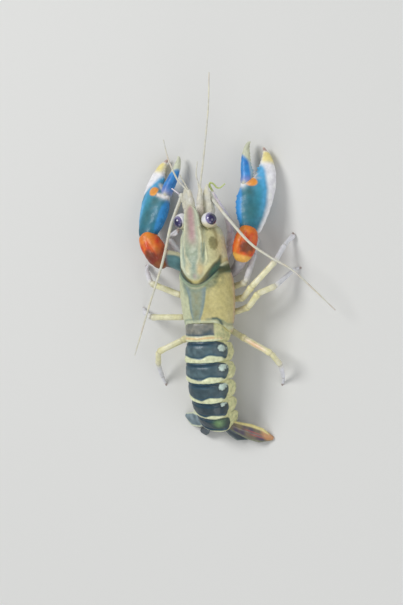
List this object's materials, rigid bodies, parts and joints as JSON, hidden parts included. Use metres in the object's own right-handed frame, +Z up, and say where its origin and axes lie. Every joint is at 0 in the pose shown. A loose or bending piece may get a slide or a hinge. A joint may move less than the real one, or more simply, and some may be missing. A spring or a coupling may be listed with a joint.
{
  "type": "crayfish model",
  "caption": "Still, life-size model of a freshwater crayfish, standing with both claws held forward.",
  "frame": {"origin": "middle of the model's plan, on the floor it stands on", "axes": "+Y towards the head, +X towards the animal's right side, +Z up"},
  "size_m": [0.0949, 0.1612, 0.0312],
  "materials": {
    "shell": "smooth, softly glossy horn shell, olive cream with teal lines",
    "soft_shell": "pale, thin shell",
    "tail_shell": "dark slate rings with cream rear bands and cream side lobes",
    "fan": "thin ribbed blades, cream edge and purplish middle",
    "eye": "wet, almost black cornea",
    "eyestalk": "pale, smooth",
    "feeler": "pale, finely ringed",
    "arm": "pale teal with a cream margin",
    "carpus": "orange red with a brown patch and a yellow rim",
    "claw": "teal and blue with a white outer margin",
    "leg": "cream, grey blue towards the tips"
  },
  "bodies": {
    "root": {"abdomen_1": "tail_shell", "abdomen_2": "tail_shell", "abdomen_3": "tail_shell", "abdomen_4": "tail_shell", "abdomen_5": "tail_shell", "abdomen_6": "tail_shell", "antenna_base_left": "feeler", "antenna_base_right": "feeler", "antenna_whip_left": "feeler", "antenna_whip_right": "feeler", "antennal_scale_left": "feeler", "antennal_scale_right": "feeler", "antennule_left": "feeler", "antennule_right": "feeler", "arm_left": "arm", "arm_right": "arm", "carapace": "shell", "carpus_left": "carpus", "carpus_right": "carpus", "dactyl_left": "claw", "dactyl_right": "claw", "eye_left": "eye", "eye_right": "eye", "eyestalk_left": "eyestalk", "eyestalk_right": "eyestalk", "face": "soft_shell", "leg_2_left_lower": "leg", "leg_2_left_upper": "leg", "leg_2_right_lower": "leg", "leg_2_right_upper": "leg", "leg_3_left_lower": "leg", "leg_3_left_upper": "leg", "leg_3_right_lower": "leg", "leg_3_right_upper": "leg", "leg_4_left_lower": "leg", "leg_4_left_upper": "leg", "leg_4_right_lower": "leg", "leg_4_right_upper": "leg", "leg_5_left_lower": "leg", "leg_5_left_upper": "leg", "leg_5_right_lower": "leg", "leg_5_right_upper": "leg", "maxilliped_left": "soft_shell", "maxilliped_right": "soft_shell", "mouthparts": "soft_shell", "palm_left": "claw", "palm_right": "claw", "sternum": "soft_shell", "telson": "fan", "uropod_inner_left": "fan", "uropod_inner_right": "fan", "uropod_outer_left": "fan", "uropod_outer_right": "fan"}
  },
  "joints": []
}
